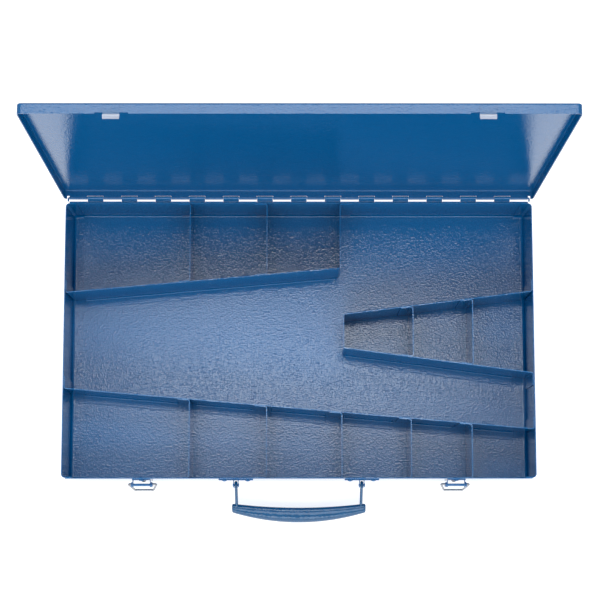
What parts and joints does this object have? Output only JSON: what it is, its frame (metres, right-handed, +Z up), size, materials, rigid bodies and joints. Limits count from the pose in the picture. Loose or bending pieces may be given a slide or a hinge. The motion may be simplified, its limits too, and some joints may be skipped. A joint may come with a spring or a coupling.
{
  "type": "compartment storage box",
  "caption": "Flat folded-sheet case with a hinged lid, slanted and cross dividers for sorting small goods, two draw latches and a swinging carrying handle.",
  "frame": {"origin": "middle of the base's flat underside, which rests on the table", "axes": "+X to the right along the hinge, +Y from the handle side to the hinge side, +Z up"},
  "size_m": [0.4426, 0.3234, 0.3293],
  "materials": {
    "blue_hammer_enamel": "glossy hammered",
    "grip_enamel": "glossy",
    "plated_steel": "satin"
  },
  "bodies": {
    "case": {"base_shell": "blue_hammer_enamel", "end_wall_left": "blue_hammer_enamel", "end_wall_right": "blue_hammer_enamel", "rear_divider": "blue_hammer_enamel", "rear_cross_divider_1": "blue_hammer_enamel", "rear_cross_divider_2": "blue_hammer_enamel", "fan_divider": "blue_hammer_enamel", "fan_cross_divider_1": "blue_hammer_enamel", "fan_cross_divider_2": "blue_hammer_enamel", "front_divider": "blue_hammer_enamel", "front_cross_divider_1": "blue_hammer_enamel", "front_cross_divider_2": "blue_hammer_enamel", "front_cross_divider_3": "blue_hammer_enamel", "front_cross_divider_4": "blue_hammer_enamel", "front_cross_divider_5": "blue_hammer_enamel", "hinge_leaf": "blue_hammer_enamel", "hinge_wire": "blue_hammer_enamel", "latch_base_left": "blue_hammer_enamel", "latch_base_right": "blue_hammer_enamel", "latch_pin_left": "blue_hammer_enamel", "latch_pin_right": "blue_hammer_enamel", "latch_rivets": "blue_hammer_enamel", "handle_bracket_left": "blue_hammer_enamel", "handle_bracket_right": "blue_hammer_enamel", "handle_pin_left": "blue_hammer_enamel", "handle_pin_right": "blue_hammer_enamel", "bracket_rivets": "blue_hammer_enamel"},
    "lid": {"lid_shell": "blue_hammer_enamel", "keeper_left": "plated_steel", "keeper_right": "plated_steel"},
    "handle": {"handle_bail": "blue_hammer_enamel", "handle_grip": "grip_enamel"},
    "lever_left": {"latch_lever_left": "blue_hammer_enamel"},
    "lever_right": {"latch_lever_right": "blue_hammer_enamel"},
    "loop_left": {"latch_loop_left": "plated_steel"},
    "loop_right": {"latch_loop_right": "plated_steel"}
  },
  "joints": [
    {"name": "lid_hinge", "type": "hinge", "parent": "case", "child": "lid", "pos_m": [0, 0.13435, 0.05945], "axis": [-1, 0, 0], "range_deg": [-92.5, 0]},
    {"name": "handle_swing", "type": "hinge", "parent": "case", "child": "handle", "pos_m": [0, -0.1352, 0.037], "axis": [-1, 0, 0], "range_deg": [0, 130]},
    {"name": "lever_left_hinge", "type": "hinge", "parent": "case", "child": "lever_left", "pos_m": [-0.147, -0.1349, 0.041], "axis": [-1, 0, 0], "range_deg": [0, 150]},
    {"name": "loop_left_hinge", "type": "hinge", "parent": "lever_left", "child": "loop_left", "pos_m": [-0.147, -0.1342, 0.034], "axis": [1, 0, 0], "range_deg": [-168.43, 0]},
    {"name": "lever_right_hinge", "type": "hinge", "parent": "case", "child": "lever_right", "pos_m": [0.147, -0.1349, 0.041], "axis": [-1, 0, 0], "range_deg": [0, 150]},
    {"name": "loop_right_hinge", "type": "hinge", "parent": "lever_right", "child": "loop_right", "pos_m": [0.147, -0.1342, 0.034], "axis": [1, 0, 0], "range_deg": [-168.43, 0]}
  ]
}
